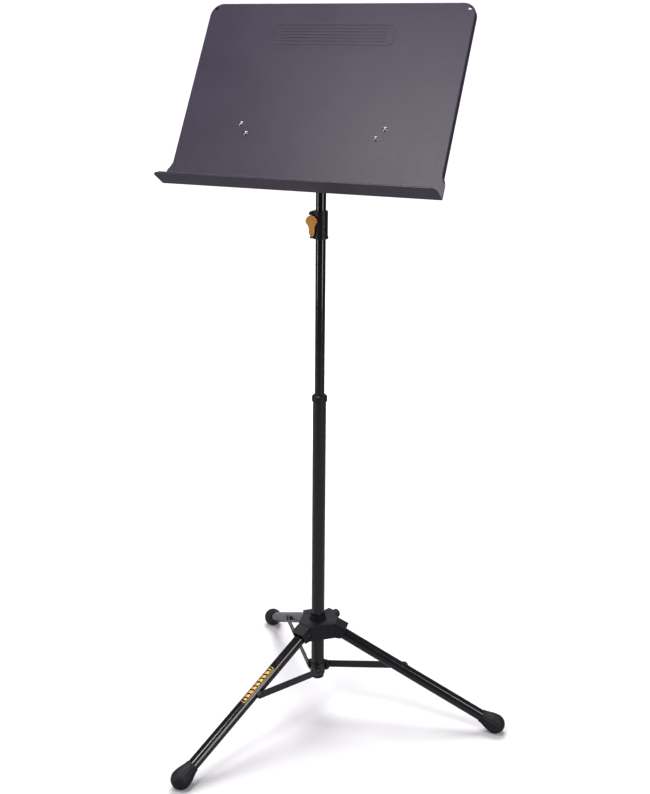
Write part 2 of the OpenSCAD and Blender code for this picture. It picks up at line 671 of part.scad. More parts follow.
module leg_boss(k) color([0.2, 0.2, 0.21]) along_leg(k) translate([strut_on_leg, 0, 0]) {
    difference() {
        translate([0, leg_r - 2, 0]) rod_y(boss_r, boss_y - leg_r + 2);
        translate([-10, 0, 0]) rod_x(leg_r, 20);
    }
    translate([0, leg_r - 4, 0]) rod_y(pin_r, 4);
}
module leg_label() color([0.72, 0.52, 0.25]) along_leg(0) intersection() {
    rotate([0, 90, 0]) translate([0, 0, label_s0]) ring(leg_r + 0.12, leg_r, label_l);
    translate([label_s0, -label_w / 2, 0]) cube([label_l, label_w, 2 * leg_r]);
}
module strut(k) color([0.09, 0.09, 0.1]) leg_place(k) translate([strut_in_r, strut_y, strut_in_z])
    rotate([0, -strut_lift, 0]) difference() {
        union() {
            rod_y(strut_w / 2, strut_t);
            translate([strut_l, 0, 0]) rod_y(strut_w / 2, strut_t);
            translate([0, 0, -strut_w / 2]) cube([strut_l, strut_t, strut_w]);
        }
        translate([0, -1, 0]) rod_y(pin_r, strut_t + 2);
        translate([strut_l, -1, 0]) rod_y(pin_r, strut_t + 2);
    }
module strut_rivet(k) color([0.25, 0.25, 0.26]) leg_place(k)
    translate([strut_out[0], strut_y, strut_out[1]]) {
    rod_y(pin_r, strut_t);
    translate([0, strut_t, 0]) rotate([-90, 0, 0]) dome(strut_head_r, strut_head_h);
}

bookplate();
plate_rivets();
rear_bracket();
tilt_bolt();
tilt_nut();
friction_washers();
mast_head();
inner_tube();
grip_front();
grip_back();
grip_screws();
trigger();
trigger_pin();
release_rod();
lock_cone();
lock_spring();
spring_washer();
lock_plug();
lock_collet();
lower_tube();
guide_collar();
bottom_bracket();
bracket_rivets();
bottom_plug();
hub_body();
hub_collar();
leg_pins();
hub_lock_pin();
hub_lock_knob();
hub_lock_spring();
leg_tube(0);  // leg_tube_1
leg_tube(1);  // leg_tube_2
leg_tube(2);  // leg_tube_3
leg_plug(0);  // leg_plug_1
leg_plug(1);  // leg_plug_2
leg_plug(2);  // leg_plug_3
foot(0);  // foot_1
foot(1);  // foot_2
foot(2);  // foot_3
leg_boss(0);  // leg_boss_1
leg_boss(1);  // leg_boss_2
leg_boss(2);  // leg_boss_3
leg_label();
strut(0);  // strut_1
strut(1);  // strut_2
strut(2);  // strut_3
strut_rivet(0);  // strut_rivet_1
strut_rivet(1);  // strut_rivet_2
strut_rivet(2);  // strut_rivet_3
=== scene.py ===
# %% [markdown]
# # An orchestra music stand, finished in Blender
# The engineer's model gives every part its place and its motion. This lesson
# keeps that frame as it is and gives it what the eye looks for: rolled edges,
# soft bends, fluted rubber feet and finishes that look like the real ones.
# %% Load the frame
import json
from math import atan2, cos, pi, radians, sin

import bmesh
import bpy
from mathutils import Matrix, Vector

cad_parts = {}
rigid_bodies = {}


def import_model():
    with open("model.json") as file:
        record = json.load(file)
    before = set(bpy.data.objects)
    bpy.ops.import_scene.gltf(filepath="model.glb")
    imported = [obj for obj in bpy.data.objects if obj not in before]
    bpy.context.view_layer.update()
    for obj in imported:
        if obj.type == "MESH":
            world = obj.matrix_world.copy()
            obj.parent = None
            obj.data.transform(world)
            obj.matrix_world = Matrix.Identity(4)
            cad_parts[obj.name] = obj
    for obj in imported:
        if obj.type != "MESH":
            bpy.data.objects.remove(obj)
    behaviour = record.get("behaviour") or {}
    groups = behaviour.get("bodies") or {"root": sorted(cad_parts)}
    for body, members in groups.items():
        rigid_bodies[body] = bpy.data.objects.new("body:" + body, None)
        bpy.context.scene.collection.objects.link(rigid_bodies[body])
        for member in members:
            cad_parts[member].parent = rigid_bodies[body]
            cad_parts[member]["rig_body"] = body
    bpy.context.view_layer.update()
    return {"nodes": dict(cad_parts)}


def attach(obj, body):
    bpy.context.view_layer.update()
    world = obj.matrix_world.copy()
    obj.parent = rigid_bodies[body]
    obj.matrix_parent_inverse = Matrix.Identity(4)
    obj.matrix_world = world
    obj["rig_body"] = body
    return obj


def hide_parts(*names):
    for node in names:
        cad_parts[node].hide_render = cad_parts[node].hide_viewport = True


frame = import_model()
mm = 0.001
slot_of = {name: node.data.materials[0].name for name, node in frame["nodes"].items()}
for plain in list(bpy.data.materials):
    bpy.data.materials.remove(plain)
# %% [markdown]
# ## The camera
# The viewer stands a little to the right of the stand, two metres away and
# at the height of the desk's top, and looks down by some seventeen degrees.
# Turning in three plain steps (heading, pitch, roll) keeps each angle readable.
# %% Place the camera
view_azimuth = radians(22.79)
heading = view_azimuth + radians(-0.29)
pitch = radians(17.48)
roll = radians(0.51)
stand_off = 1.9836
eye_height = 1.2828
camera_data = bpy.data.cameras.new("camera")
camera_data.sensor_fit = "HORIZONTAL"
camera_data.sensor_width = 36
camera_data.lens = 62.35
camera_data.clip_start = 0.05
camera_data.clip_end = 60
camera = bpy.data.objects.new("camera", camera_data)
bpy.context.scene.collection.objects.link(camera)
camera.matrix_world = (
    Matrix.Translation((stand_off * sin(view_azimuth), -stand_off * cos(view_azimuth), eye_height))
    @ Matrix.Rotation(heading, 4, "Z")
    @ Matrix.Rotation(pi / 2 - pitch, 4, "X")
    @ Matrix.Rotation(roll, 4, "Z")
)
bpy.context.scene.camera = camera
print("camera at", [round(v, 3) for v in camera.matrix_world.translation])
# %% [markdown]
# ## Shader maths that reads like maths
# A material is a graph of nodes. Wrapping a socket in a small class lets the
# text say `base * (1 - dust)` and adds the Math nodes by itself. Every other
# node comes from one method, so each recipe below stays a few lines long.
# %% A socket that does arithmetic
class Signal:
    """A number that varies over a surface."""

    def __init__(self, finish, socket):
        self.finish = finish
        self.socket = socket

    def math(self, operation, *values):
        return self.finish.math(operation, *values)

    def __add__(self, other):
        return self.math("ADD", self, other)

    def __sub__(self, other):
        return self.math("SUBTRACT", self, other)

    def __rsub__(self, other):
        return self.math("SUBTRACT", other, self)

    def __mul__(self, other):
        return self.math("MULTIPLY", self, other)

    def __lt__(self, other):
        return self.math("LESS_THAN", self, other)

    def __abs__(self):
        return self.math("ABSOLUTE", self)

    __radd__ = __add__
    __rmul__ = __mul__

    def clamp(self):
        return self.finish.add("ShaderNodeClamp", {}, [self])

    def ramp(self, start, end, low=0.0, high=1.0):
        """low below start, high above end, smooth between."""
        return self.finish.add(
            "ShaderNodeMapRange", {"interpolation_type": "SMOOTHSTEP"}, [self, start, end, low, high]
        )


# %% A finish that collects its nodes
class Finish:
    """A material with a Principled shader and helpers that add nodes to it."""

    def __init__(self, name, colour, roughness, metallic=0.0, **constants):
        self.material = bpy.data.materials.new(name)
        self.material.use_nodes = True
        self.tree = self.material.node_tree
        self.shader = self.tree.nodes["Principled BSDF"]
        self.set("Base Color", (*colour, 1.0))
        self.set("Roughness", roughness)
        self.set("Metallic", metallic)
        for key, value in constants.items():
            self.set(key.replace("_", " ").title().replace("Ior", "IOR"), value)

    def plug(self, socket, value):
        if isinstance(value, Signal):
            self.tree.links.new(value.socket, socket)
        else:
            socket.default_value = value

    def set(self, name, value):
        self.plug(self.shader.inputs[name], value)

    def add(self, kind, settings, inputs, output=0):
        """Adds a node, sets it up, feeds its inputs by place or by name, and returns one output."""
        node = self.tree.nodes.new(kind)
        for key, value in settings.items():
            setattr(node, key, value)
        pairs = inputs.items() if isinstance(inputs, dict) else enumerate(inputs)
        for key, value in pairs:
            self.plug(node.inputs[key], value)
        return Signal(self, node.outputs[output])

    def math(self, operation, *values):
        """One Math node."""
        return self.add("ShaderNodeMath", {"operation": operation}, list(values))

    def coords(self, stretch=(1, 1, 1), centre=(0, 0, 0), turn=(0, 0, 0)):
        """Object coordinates, in metres, seen from a centre, turned and stretched."""
        point = self.add("ShaderNodeTexCoord", {}, [], "Object")
        moved = self.add("ShaderNodeVectorMath", {"operation": "SUBTRACT"}, [point, centre])
        turned = self.add(
            "ShaderNodeVectorRotate", {"rotation_type": "EULER_XYZ", "invert": True},
            {"Vector": moved, "Rotation": turn},
        )
        return self.add("ShaderNodeVectorMath", {"operation": "MULTIPLY"}, [turned, stretch])

    def noise(self, scale, detail=2.0, rough=0.5, stretch=(1, 1, 1)):
        return self.add(
            "ShaderNodeTexNoise", {},
            {"Vector": self.coords(stretch), "Scale": scale, "Detail": detail, "Roughness": rough},
        )

    def axes(self, point):
        """The three parts of a point."""
        node = self.tree.nodes.new("ShaderNodeSeparateXYZ")
        self.plug(node.inputs[0], point)
        return [Signal(self, out) for out in node.outputs]

    def mix(self, share, first, second):
        """A colour between two colours."""
        return self.add(
            "ShaderNodeMix", {"data_type": "RGBA"},
            {0: share, 6: first if isinstance(first, Signal) else (*first, 1.0),
             7: second if isinstance(second, Signal) else (*second, 1.0)}, 2,
        )

    def bump(self, height, distance, strength=1.0, under=None):
        feeds = {"Strength": strength, "Distance": distance, "Height": height}
        if under is not None:
            feeds["Normal"] = under
        return self.add("ShaderNodeBump", {}, feeds)


print("shader helpers ready")
# %% [markdown]
# ## Powder coat for the desk
# The desk is sheet steel with a satin powder coat. Powder melts into tiny
# rounded grains, so the finish has a fine pebbled bump, a slightly uneven
# sheen, and a few brighter grains. Two noises at grain size do that job.
# %% Desk finish
desk_coat = Finish("desk_coat", (0.040, 0.032, 0.054), 0.41, specular_ior_level=0.42)
grain = desk_coat.noise(1500, 3.0, 0.6)
pebble = desk_coat.noise(620, 2.0, 0.55)
cloud = desk_coat.noise(9, 3.0, 0.6)
shade = (grain.ramp(0.35, 0.7) * 0.5 + cloud.ramp(0.3, 0.7) * 0.5).clamp()
desk_coat.set("Base Color", desk_coat.mix(shade, (0.034, 0.026, 0.047), (0.046, 0.037, 0.062)))
desk_coat.set("Roughness", cloud.ramp(0.3, 0.7, 0.395, 0.425) + grain.ramp(0.3, 0.7, -0.04, 0.04))
coarse = desk_coat.bump(pebble, 0.00030, 0.7)
desk_coat.set("Normal", desk_coat.bump(grain, 0.00009, 0.5, coarse))
print("desk finish:", len(desk_coat.tree.nodes), "nodes")
# %% [markdown]
# ## Black enamel for the tubes
# The mast and the legs are drawn steel tube under gloss black enamel. A wet
# look needs low roughness and very little bump: a faint orange peel, and
# faint rubbing marks that run along the tube where the sections slide.
# %% Tube finish
def enamel(name, colour, roughness, peel):
    """Gloss black paint with orange peel and light handling marks."""
    paint = Finish(name, colour, roughness, coat_weight=0.35, coat_roughness=0.08)
    wave = paint.noise(420, 1.0, 0.4)
    rub = paint.noise(60, 4.0, 0.7, (1, 1, 0.06))
    smudge = paint.noise(24, 3.0, 0.6)
    dust = (smudge.ramp(0.55, 0.8) * 0.5 + rub.ramp(0.6, 0.85) * 0.5).clamp()
    lifted = tuple(c * 1.9 + 0.004 for c in colour)
    paint.set("Base Color", paint.mix(dust, colour, lifted))
    paint.set("Roughness", roughness + dust * 0.12 + rub.ramp(0.4, 0.7, -0.02, 0.03))
    paint.set("Normal", paint.bump(wave, peel, 0.35))
    return paint


tube_gloss = enamel("tube_gloss", (0.0065, 0.0065, 0.0072), 0.17, 0.00012)
black_steel = enamel("black_steel", (0.011, 0.011, 0.012), 0.32, 0.00016)
print("enamels:", tube_gloss.material.name, black_steel.material.name)
# %% [markdown]
# ## Moulded plastic and rubber
# The hub, the grip and the collars are moulded nylon with a spark-eroded
# grain. The feet are softer and duller, and pick up pale dust near the floor.
# One recipe serves both, with its own grain size, colour and dust.
# %% Plastic and rubber finishes
def moulded(name, colour, roughness, grain_size, depth, dust_height=0.0):
    """A moulded skin with a fine grain, and dust below dust_height."""
    skin = Finish(name, colour, roughness, specular_ior_level=0.35)
    fine = skin.noise(1.0 / grain_size, 3.0, 0.65)
    patch = skin.noise(35, 3.0, 0.6)
    worn = patch.ramp(0.5, 0.8)
    if dust_height:
        height = skin.axes(skin.coords())[2]
        worn = (worn * 0.4 + height.ramp(0.0, dust_height, 0.9, 0.0) * patch.ramp(0.3, 0.7)).clamp()
    pale = tuple(c * 1.7 + 0.01 for c in colour)
    skin.set("Base Color", skin.mix(worn * 0.6 + fine.ramp(0.4, 0.7) * 0.25, colour, pale))
    skin.set("Roughness", roughness + worn * 0.14 + fine.ramp(0.3, 0.7, -0.05, 0.05))
    skin.set("Normal", skin.bump(fine, depth, 0.5))
    return skin


black_plastic = moulded("black_plastic", (0.008, 0.0075, 0.009), 0.42, 0.0008, 0.00012)
foot_rubber = moulded("foot_rubber", (0.010, 0.0095, 0.011), 0.55, 0.0012, 0.00018, 0.03)
nylon = moulded("nylon", (0.55, 0.54, 0.5), 0.45, 0.0012, 0.0001)
print("moulded:", black_plastic.material.name, foot_rubber.material.name, nylon.material.name)
# %% [markdown]
# ## Amber for the trigger
# The trigger is the one bright piece, so that the hand finds it. It is a
# satin amber plastic, a little deeper in colour where dirt from fingers sits.
# %% Trigger finish
amber_plastic = Finish("amber_plastic", (0.95, 0.45, 0.08), 0.34, coat_weight=0.2, coat_roughness=0.2)
touch = amber_plastic.noise(90, 3.0, 0.6)
speck = amber_plastic.noise(1300, 2.0, 0.6)
amber_plastic.set(
    "Base Color", amber_plastic.mix(touch.ramp(0.35, 0.75), (1.0, 0.48, 0.09), (0.86, 0.37, 0.06))
)
amber_plastic.set("Roughness", touch.ramp(0.3, 0.7, 0.3, 0.42))
amber_plastic.set("Normal", amber_plastic.bump(speck, 0.00006, 0.5))
print("amber ready")
# %% [markdown]
# ## Bare and plated metals
# Bolts, rivets, springs and the brass cone are small, but a close look finds
# them. Fine lines from turning or drawing give each its own sheen.
# %% Metal finishes
def metal(name, colour, roughness, line_size, dull):
    """Plated or turned metal with fine lines and duller patches."""
    plate = Finish(name, colour, roughness, 1.0)
    lines = plate.noise(1.0 / line_size, 3.0, 0.7, (1, 1, 5))
    tarnish = plate.noise(70, 4.0, 0.65).ramp(0.45, 0.75)
    plate.set("Base Color", plate.mix(tarnish, colour, tuple(c * dull for c in colour)))
    plate.set("Roughness", roughness + tarnish * 0.15 + lines.ramp(0.3, 0.7, -0.05, 0.06))
    plate.set("Normal", plate.bump(lines, 0.00003, 0.4))
    return plate


zinc_steel = metal("zinc_steel", (0.52, 0.53, 0.55), 0.3, 0.0007, 0.7)
black_oxide = metal("black_oxide", (0.06, 0.058, 0.064), 0.4, 0.0008, 0.75)
spring_steel = metal("spring_steel", (0.5, 0.5, 0.51), 0.28, 0.0005, 0.65)
brass = metal("brass", (0.72, 0.5, 0.2), 0.27, 0.0006, 0.75)
polished_rivet = metal("polished_rivet", (0.26, 0.25, 0.28), 0.3, 0.0006, 0.7)
for ready in (zinc_steel, black_oxide, spring_steel, brass, polished_rivet):
    print("metal:", ready.material.name)
# %% [markdown]
# ## Tools for making a shape
# A shape is worked in a bmesh, moved to its place in the frame, and then
# handed to a body. Turning parts, such as tubes and domes, are a short
# profile spun about an axis, which is how a lathe makes them.
# %% Finish a bmesh and hand it to a body
def sharpen(mesh, angle):
    """Smooth shading that stays crisp where faces meet at more than angle."""
    mesh.shade_smooth()
    mesh.set_sharp_from_angle(angle=angle)


def piece(name, shape, body, finish, replaces=(), crisp=35):
    """Turns a bmesh into an object that rides on a body."""
    mesh = bpy.data.meshes.new(name)
    shape.to_mesh(mesh)
    shape.free()
    mesh.materials.append(finish.material)
    sharpen(mesh, radians(crisp))
    made = bpy.data.objects.new(name, mesh)
    bpy.context.scene.collection.objects.link(made)
    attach(made, body)
    if replaces:
        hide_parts(*replaces)
    return made


def steady(made):
    """Keeps large flat faces flat-looking beside small rounded edges."""
    weighted = made.modifiers.new("steady", "WEIGHTED_NORMAL")
    weighted.keep_sharp = True
    return made


# %% Turn a profile on the lathe
def lathe(shape, profile, place=Matrix(), steps=64, closed=False):
    """Spins (radius, height) points about the Z axis of place. Touching the axis closes an end."""
    spun = bmesh.new()
    points = [spun.verts.new((r, 0, z)) for r, z in profile]
    ends = points[1:] + ([points[0]] if closed else [])
    lines = [spun.edges.new(pair) for pair in zip(points, ends)]
    bmesh.ops.spin(
        spun, geom=points + lines, cent=(0, 0, 0), axis=(0, 0, 1), angle=2 * pi, steps=steps, use_merge=True
    )
    bmesh.ops.remove_doubles(spun, verts=spun.verts, dist=1e-6)
    bmesh.ops.recalc_face_normals(spun, faces=spun.faces)
    bmesh.ops.transform(spun, matrix=place, verts=spun.verts)
    add_to(shape, spun)


def add_to(shape, other):
    """Moves the contents of one bmesh into another."""
    mesh = bpy.data.meshes.new("part")
    other.to_mesh(mesh)
    other.free()
    shape.from_mesh(mesh)
    bpy.data.meshes.remove(mesh)


print("lathe ready")
# %% [markdown]
# ## Frames of the parts
# The desk leans back about its tilt bolt, and each leg slopes down from its
# pin. A matrix for each lets a part be drawn square and put in place once.
# %% Places of the desk, the legs and the struts
desk_tilt = radians(31.2)
pivot_z = 1158 * mm
pivot_up, pivot_back = 150 * mm, 34 * mm
desk_place = (
    Matrix.Translation((0, 0, pivot_z))
    @ Matrix.Rotation(-desk_tilt, 4, "X")
    @ Matrix.Translation((0, -pivot_back, -pivot_up))
)
base_turn = radians(-20.35)
leg_angle = radians(27.3)
leg_pivot_r, leg_pivot_z = 38 * mm, 182.7 * mm


def spoke(k):
    """X out along leg k, Y towards its strut."""
    return Matrix.Rotation(base_turn - pi / 2 + 2 * pi / 3 * k, 4, "Z")


def down_leg(k):
    """Z down leg k from its pin, X towards the floor, Y towards its strut."""
    slope = Matrix.Translation((leg_pivot_r, 0, leg_pivot_z)) @ Matrix.Rotation(leg_angle, 4, "Y")
    return spoke(k) @ slope @ Matrix.Rotation(pi / 2, 4, "Y")


print("desk bend line at", [round(v, 4) for v in desk_place.translation])
# %% [markdown]
# ## The desk
# The desk is one sheet: a plate with rounded top corners, a flange folded
# back round its rim, and a ledge folded forward along the bottom. Starting
# from the outline, the rim is extruded into the folds, the folds are
# bevelled into bends, and a Solidify modifier gives the sheet its gauge.
# %% Outline and holes
desk_half, plate_half, plate_top = 252.5 * mm, 245.5 * mm, 352 * mm
flange_start, sheet_gauge = 30 * mm, 1.5 * mm
flange_depth, ledge_depth = 12 * mm, 45 * mm
hang_hole = Vector((234.6 * mm, 0, 341.2 * mm))
flange_x = desk_half - (desk_half - plate_half) * 6 / 16
outline = [
    (desk_half, 0), (desk_half, 24 * mm), (flange_x, flange_start), (plate_half, 40 * mm),
    (plate_half, plate_top),
]
desk = bmesh.new()
rim = [desk.verts.new((x, 0, z)) for x, z in outline]
rim += [desk.verts.new((-x, 0, z)) for x, z in reversed(outline)]
plate = desk.faces.new(rim)
top_corners = [v for v in rim if v.co.z > plate_top - mm]
bmesh.ops.bevel(
    desk, geom=top_corners, offset=24 * mm, offset_type="OFFSET", segments=14, profile=0.5,
    affect="VERTICES", material=-1, clamp_overlap=False,
)
bmesh.ops.delete(desk, geom=list(desk.faces), context="FACES_ONLY")
outer_edges = list(desk.edges)
for side in (-1, 1):
    bmesh.ops.create_circle(
        desk, cap_ends=False, segments=32, radius=3.3 * mm,
        matrix=Matrix.Translation((side * hang_hole.x, 0, hang_hole.z)) @ Matrix.Rotation(pi / 2, 4, "X"),
    )
bmesh.ops.triangle_fill(desk, use_beauty=True, use_dissolve=False, edges=list(desk.edges), normal=(0, -1, 0))
print("plate:", len(desk.faces), "faces")
# %% Fold the flange back and the ledge forward
def fold(shape, edges, step):
    """Extrudes edges and moves the new ones by step. Returns the new edges."""
    grown = bmesh.ops.extrude_edge_only(shape, edges=edges)["geom"]
    moved = [g for g in grown if isinstance(g, bmesh.types.BMVert)]
    bmesh.ops.translate(shape, verts=moved, vec=step)
    return [g for g in grown if isinstance(g, bmesh.types.BMEdge) and all(v in moved for v in g.verts)]


flange_edges = [
    e for e in outer_edges if e.is_valid and all(v.co.z > flange_start - 1e-5 for v in e.verts)
]
bend_edges = [e for e in outer_edges if e.is_valid and all(abs(v.co.z) < 1e-6 for v in e.verts)]
back_edges = fold(desk, flange_edges, (0, flange_depth, 0))
flange_ends = [v for e in back_edges for v in e.verts if v.co.z < flange_start + mm]
bmesh.ops.bevel(
    desk, geom=flange_ends, offset=9 * mm, offset_type="OFFSET", segments=6, profile=0.5,
    affect="VERTICES", material=-1,
)
front_edges = fold(desk, bend_edges, (0, -ledge_depth, 0))
front_corners = [v for e in front_edges for v in e.verts]
bmesh.ops.bevel(
    desk, geom=front_corners, offset=12 * mm, offset_type="OFFSET", segments=8, profile=0.5,
    affect="VERTICES", material=-1,
)
creases = [e for e in desk.edges if e.is_manifold and e.calc_face_angle() > radians(60)]
bmesh.ops.bevel(
    desk, geom=creases, offset=2 * mm, offset_type="OFFSET", segments=5, profile=0.5,
    affect="EDGES", material=-1,
)
bmesh.ops.recalc_face_normals(desk, faces=desk.faces)
front_face = max(desk.faces, key=lambda f: f.calc_area())
if front_face.normal.y > 0:
    bmesh.ops.reverse_faces(desk, faces=desk.faces)
bmesh.ops.transform(desk, matrix=desk_place, verts=desk.verts)
desk_sheet = piece("desk_sheet", desk, "desk", desk_coat, ["bookplate"])
gauge = desk_sheet.modifiers.new("gauge", "SOLIDIFY")
gauge.thickness = sheet_gauge
gauge.offset = -1
edge_break = desk_sheet.modifiers.new("edge_break", "BEVEL")
edge_break.width = 0.45 * mm
edge_break.segments = 2
edge_break.limit_method = "ANGLE"
edge_break.angle_limit = radians(60)
steady(desk_sheet)
print("desk sheet:", len(desk_sheet.data.polygons), "faces before its gauge")
# %% [markdown]
# ## Hem and pressed panel
# The ledge's front edge is folded back on itself, so no sharp edge meets the
# hand. High on the plate a panel is pressed proud of the sheet: here it is a
# plain rounded frame round the five lines of a music staff.
# %% Hem and staff panel
def bar(shape, size, centre, ease, segments=2):
    """A block with eased edges."""
    block = bmesh.new()
    bmesh.ops.create_cube(block, size=1.0, matrix=Matrix.Translation(centre) @ Matrix.Diagonal((*size, 1)))
    bmesh.ops.bevel(
        block, geom=list(block.edges), offset=ease, offset_type="OFFSET", segments=segments, profile=0.5,
        affect="EDGES", material=-1,
    )
    add_to(shape, block)


hem = bmesh.new()
hem_length = 2 * (desk_half - 12 * mm)
bar(hem, (hem_length, 5 * mm, 1.5 * mm), (0, -ledge_depth + 2.5 * mm, 0.74 * mm), 0.6 * mm, 3)
bmesh.ops.transform(hem, matrix=desk_place, verts=hem.verts)
steady(piece("ledge_hem", hem, "desk", desk_coat))


# %% The panel's frame and its five lines
panel_size, panel_height, panel_round = Vector((226 * mm, 40 * mm)), 291 * mm, 8 * mm
panel_proud, panel_line = 0.5 * mm, 2 * mm
panel = bmesh.new()
bmesh.ops.create_grid(
    panel, x_segments=1, y_segments=1, size=0.5,
    matrix=Matrix.Translation((0, -panel_proud, panel_height)) @ Matrix.Rotation(pi / 2, 4, "X")
    @ Matrix.Diagonal((panel_size.x, panel_size.y, 1, 1)),
)
bmesh.ops.bevel(
    panel, geom=list(panel.verts), offset=panel_round, offset_type="OFFSET", segments=8, profile=0.5,
    affect="VERTICES", material=-1, clamp_overlap=False,
)
frame_faces = bmesh.ops.inset_region(
    panel, faces=list(panel.faces), thickness=panel_line, use_even_offset=True, use_boundary=True
)["faces"]
field = [f for f in panel.faces if f not in frame_faces]
bmesh.ops.delete(panel, geom=field, context="FACES")
raised = bmesh.ops.extrude_face_region(panel, geom=list(panel.faces))["geom"]
bmesh.ops.translate(
    panel, verts=[g for g in raised if isinstance(g, bmesh.types.BMVert)], vec=(0, panel_proud + 0.4 * mm, 0)
)
bmesh.ops.recalc_face_normals(panel, faces=panel.faces)
brow = [
    e for e in panel.edges
    if e.is_manifold and e.calc_face_angle() > radians(60) and all(v.co.y < -0.4 * mm for v in e.verts)
]
bmesh.ops.bevel(
    panel, geom=brow, offset=0.3 * mm, offset_type="OFFSET", segments=3, profile=0.5,
    affect="EDGES", material=-1,
)
staff_length, staff_gap = panel_size.x - 28 * mm, 6 * mm
for line in range(-2, 3):
    bar(panel, (staff_length, 0.9 * mm, 1.4 * mm), (0, -0.05 * mm, panel_height + line * staff_gap), 0.3 * mm)
bmesh.ops.transform(panel, matrix=desk_place, verts=panel.verts)
steady(piece("staff_panel", panel, "desk", desk_coat))
print("hem and staff panel made")
# %% [markdown]
# ## Softened castings
# The hub, the grip, the trigger and the folded bracket already have the right
# shape in the engineer's model, but their edges are knife-sharp. A moulding
# never is. A merged copy is bevelled along every sharp edge, which gives the
# thin highlight that tells the eye how big the part is.
# %% Soften a copy of an engineered part
finishes = {
    "desk_coat": desk_coat, "tube_gloss": tube_gloss, "black_steel": black_steel,
    "black_plastic": black_plastic, "foot_rubber": foot_rubber, "amber_plastic": amber_plastic,
    "zinc_steel": zinc_steel,
    "black_oxide": black_oxide, "spring_steel": spring_steel, "nylon": nylon, "brass": brass,
}
body_of = {name: node["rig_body"] for name, node in frame["nodes"].items()}


def softened(node, width, segments=3, angle=40):
    """A merged copy of a CAD node with its sharp edges rounded by width."""
    shape = bmesh.new()
    shape.from_mesh(frame["nodes"][node].data)
    bmesh.ops.remove_doubles(shape, verts=shape.verts, dist=2e-6)
    bmesh.ops.dissolve_limit(
        shape, angle_limit=radians(1), use_dissolve_boundaries=False, verts=shape.verts, edges=shape.edges
    )
    sharp = [e for e in shape.edges if e.is_manifold and e.calc_face_angle() > radians(angle)]
    bmesh.ops.bevel(
        shape, geom=sharp, offset=width, offset_type="OFFSET", segments=segments, profile=0.5,
        affect="EDGES", material=-1, clamp_overlap=True, loop_slide=True,
    )
    made = piece(f"soft_{node}", shape, body_of[node], finishes[slot_of[node]], [node])
    print(made.name, len(made.data.polygons), "faces,", len(sharp), "edges rounded")
    return steady(made)


for node, width in [
    ("hub_body", 0.9 * mm), ("grip_front", 0.6 * mm), ("grip_back", 0.6 * mm), ("trigger", 1.0 * mm),
    ("rear_bracket", 0.5 * mm), ("strut_1", 0.4 * mm), ("strut_2", 0.4 * mm), ("strut_3", 0.4 * mm),
    ("hub_lock_knob", 0.5 * mm), ("tilt_nut", 0.3 * mm), ("mast_head", 0.4 * mm),
    ("bottom_bracket", 0.5 * mm),
]:
    softened(node, width)
# %% [markdown]
# ## Rubber feet
# Each foot is a rubber boot pushed over the leg: a round toe, a body that
# tapers up to a lipped mouth, and shallow flutes along it for grip. It is
# turned on the lathe, the flutes are pressed in, and the toe is cut flat
# where it stands on the floor.
# %% Turn and flute one foot
leg_radius = 11 * mm
toe_radius = 19 * mm
toe_centre = (leg_pivot_z - toe_radius + 0.6 * mm) / sin(leg_angle)
boot_back, flutes, flute_depth = -31 * mm, 12, 0.7 * mm
toe = [(toe_radius * cos(a), toe_radius * sin(a)) for a in (radians(-12 + 102 * k / 16) for k in range(16))]
boot_profile = [
    (0, -10 * mm), (leg_radius, -10 * mm), (leg_radius, boot_back + 0.6 * mm),
    (leg_radius + 0.5 * mm, boot_back),
    (12.2 * mm, boot_back), (12.6 * mm, boot_back + 0.5 * mm), (12.8 * mm, -28.4 * mm),
    (12.9 * mm, -27 * mm), (13.6 * mm, -24 * mm), (14.8 * mm, -20 * mm), (16.1 * mm, -16 * mm),
    (17.3 * mm, -12 * mm), (18.1 * mm, -8 * mm), *toe, (0, toe_radius),
]


def fluted_foot(number):
    """A foot on leg number 1, 2 or 3."""
    boot = bmesh.new()
    lathe(boot, boot_profile, steps=12 * flutes)
    for v in boot.verts:
        outside = v.co.xy.length > leg_radius + 1.2 * mm
        along = (v.co.z + 27 * mm) / (34 * mm)
        if outside and 0 < along < 1:
            wave = cos(flutes * atan2(v.co.y, v.co.x))
            press = flute_depth * max(0, wave) ** 2 * sin(pi * along) ** 0.7
            v.co.xy *= 1 - press / v.co.xy.length
    place = down_leg(number - 1) @ Matrix.Translation((0, 0, toe_centre))
    bmesh.ops.transform(boot, matrix=place, verts=boot.verts)
    cut = bmesh.ops.bisect_plane(
        boot, geom=list(boot.verts) + list(boot.edges) + list(boot.faces), dist=1e-7,
        plane_co=(0, 0, 0), plane_no=(0, 0, -1), clear_outer=True,
    )["geom_cut"]
    bmesh.ops.contextual_create(boot, geom=[g for g in cut if isinstance(g, bmesh.types.BMEdge)])
    bmesh.ops.recalc_face_normals(boot, faces=boot.faces)
    leg, node = f"leg_{number}", f"foot_{number}"
    return piece(f"rubber_{node}", boot, leg, foot_rubber, [node])


for number in (1, 2, 3):
    print(fluted_foot(number).name, "made")
# %% [markdown]
# ## Finishes on the engineered parts
# Every other part keeps its own shape. Its finish comes from the slot that
# the engineer gave it, so one loop paints them all.
# %% Paint the parts that stay
for name, node in frame["nodes"].items():
    if not node.hide_render and slot_of[name] in finishes:
        node.data.materials[0] = finishes[slot_of[name]].material
frame["nodes"]["plate_rivets"].data.materials[0] = polished_rivet.material
print("painted the parts that stay")
